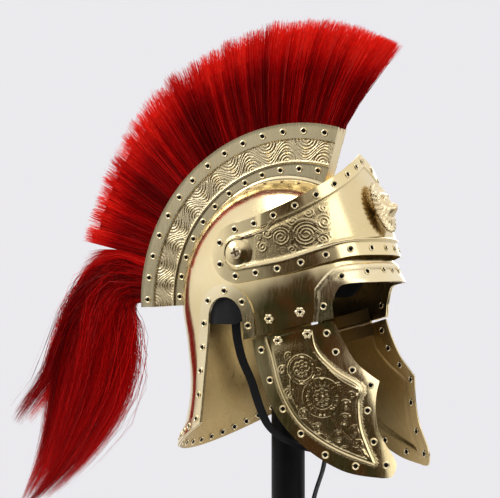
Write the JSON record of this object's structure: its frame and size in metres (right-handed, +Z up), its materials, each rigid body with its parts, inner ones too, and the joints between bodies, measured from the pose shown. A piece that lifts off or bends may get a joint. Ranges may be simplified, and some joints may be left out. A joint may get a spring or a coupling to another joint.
{
  "type": "roman centurion helmet on stand",
  "caption": "Brass centurion helmet with a red horsehair crest, a visor with a lion mask, hinged cheek guards and a neck guard, on a plain black stand.",
  "frame": {"origin": "centre of the stand's underside", "axes": "+Z up, the helmet looks along -Y, the wearer's right is -X"},
  "size_m": [0.2068, 0.4948, 0.6279],
  "materials": {
    "polished_brass": "polished sheet, roughness about 0.15",
    "band_brass": "bright sheet, roughness about 0.2",
    "cast_brass": "cast, roughness about 0.3",
    "hinge_brass": "dull sheet",
    "red_horsehair": "glossy dyed hair",
    "black_liner": "matt",
    "black_leather": "smooth",
    "black_stand": "satin black"
  },
  "bodies": {
    "helmet": {"stand_post": "black_stand", "helmet_shell": "polished_brass", "liner": "black_liner", "ear_band_right": "band_brass", "ear_band_left": "band_brass", "neck_rim_band": "band_brass", "face_band": "band_brass", "visor": "polished_brass", "visor_pivot_right": "cast_brass", "visor_pivot_left": "cast_brass", "medallion": "cast_brass", "crest_box": "band_brass", "plume_fan": "red_horsehair", "plume_tail": "red_horsehair", "hinge_upper_right": "hinge_brass", "hinge_upper_left": "hinge_brass", "chin_strap": "black_leather", "strap_tail": "black_leather"},
    "right_cheek": {"cheek_guard_right": "polished_brass", "hinge_lower_right": "hinge_brass"},
    "left_cheek": {"cheek_guard_left": "polished_brass", "hinge_lower_left": "hinge_brass"}
  },
  "joints": [
    {"name": "right_cheek_hinge", "type": "hinge", "parent": "helmet", "child": "right_cheek", "pos_m": [-0.08509, -0.04125, 0.30068], "axis": [-0.163, 0.9584, -0.2342], "range_deg": [-8, 22]},
    {"name": "left_cheek_hinge", "type": "hinge", "parent": "helmet", "child": "left_cheek", "pos_m": [0.08509, -0.04125, 0.30068], "axis": [-0.163, -0.9584, 0.2342], "range_deg": [-8, 22]}
  ]
}
